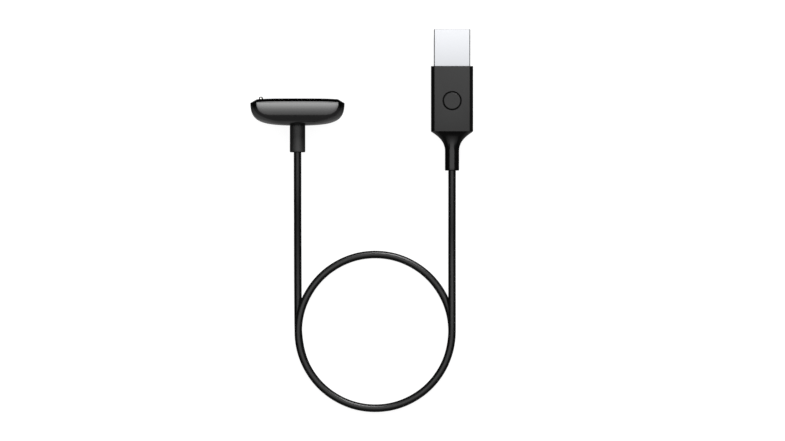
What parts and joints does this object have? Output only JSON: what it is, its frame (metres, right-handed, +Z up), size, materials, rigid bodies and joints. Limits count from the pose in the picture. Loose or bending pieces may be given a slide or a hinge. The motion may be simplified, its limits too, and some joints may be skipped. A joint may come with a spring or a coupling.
{
  "type": "magnetic charging cable",
  "caption": "Charging cable for a wrist tracker: boat-shaped magnetic dock with spring pins, looped round cord and a USB-A plug with a round push button.",
  "frame": {"origin": "on the table, under the middle of the dock as it lies on one long side, collar included", "axes": "+X along the dock, towards the plug; +Y out of the dock's contact face; +Z up from the table"},
  "size_m": [0.0735, 0.1265, 0.017],
  "materials": {
    "hull_black": "fine satin-gloss moulded plastic",
    "face_black": "polished",
    "boot_black": "satin elastomer",
    "boot_gloss": "semi-gloss elastomer",
    "cord_black": "satin cable jacket",
    "plug_satin": "satin moulded plastic",
    "inner_plastic": "matt",
    "pin_metal": "nickel plated, turned",
    "spring_steel": "drawn or rolled steel",
    "magnet_nickel": "nickel plated",
    "yoke_steel": "rolled",
    "board_green": "solder mask",
    "lead_red": "wire insulation",
    "lead_black": "wire insulation",
    "usb_metal": "nickel plated sheet, softly polished",
    "tongue_white": "moulded",
    "contact_gold": "gold plated",
    "chip_black": "matt epoxy",
    "crimp_brass": "rolled"
  },
  "bodies": {
    "cable": {"dock_shell": "hull_black", "dock_face": "face_black", "pin_housing": "inner_plastic", "pin_barrels": "pin_metal", "pin_spring_near": "spring_steel", "pin_spring_far": "spring_steel", "magnet_near": "magnet_nickel", "magnet_far": "magnet_nickel", "magnet_yoke": "yoke_steel", "dock_board": "board_green", "dock_lead_red": "lead_red", "dock_lead_black": "lead_black", "dock_boot": "boot_black", "cord": "cord_black", "usb_shell": "usb_metal", "usb_tongue": "tongue_white", "usb_contacts": "contact_gold", "plug_board": "board_green", "board_components": "chip_black", "switch_base": "inner_plastic", "switch_cover": "spring_steel", "switch_dome": "spring_steel", "plug_front_shell": "plug_satin", "plug_rear_shell": "plug_satin", "plug_boot": "boot_gloss", "plug_lead_red": "lead_red", "plug_lead_black": "lead_black", "cord_crimp": "crimp_brass"},
    "pin_near": {"pin_plunger_near": "pin_metal"},
    "pin_far": {"pin_plunger_far": "pin_metal"},
    "button": {"reset_button": "plug_satin", "switch_stem": "inner_plastic"}
  },
  "joints": [
    {"name": "pin_near_press", "type": "slide", "parent": "cable", "child": "pin_near", "axis": [0, -1, 0], "range_m": [0, 0.0008], "stiffness_N_per_m": 500, "springref_m": -0.0004, "deforming": ["pin_spring_near"]},
    {"name": "pin_far_press", "type": "slide", "parent": "cable", "child": "pin_far", "axis": [0, -1, 0], "range_m": [0, 0.0008], "stiffness_N_per_m": 500, "springref_m": -0.0004, "deforming": ["pin_spring_far"]},
    {"name": "reset_button_press", "type": "slide", "parent": "cable", "child": "button", "axis": [0, 0, -1], "range_m": [0, 0.0003], "stiffness_N_per_m": 4000, "springref_m": -0.0001, "deforming": ["switch_dome"]}
  ]
}
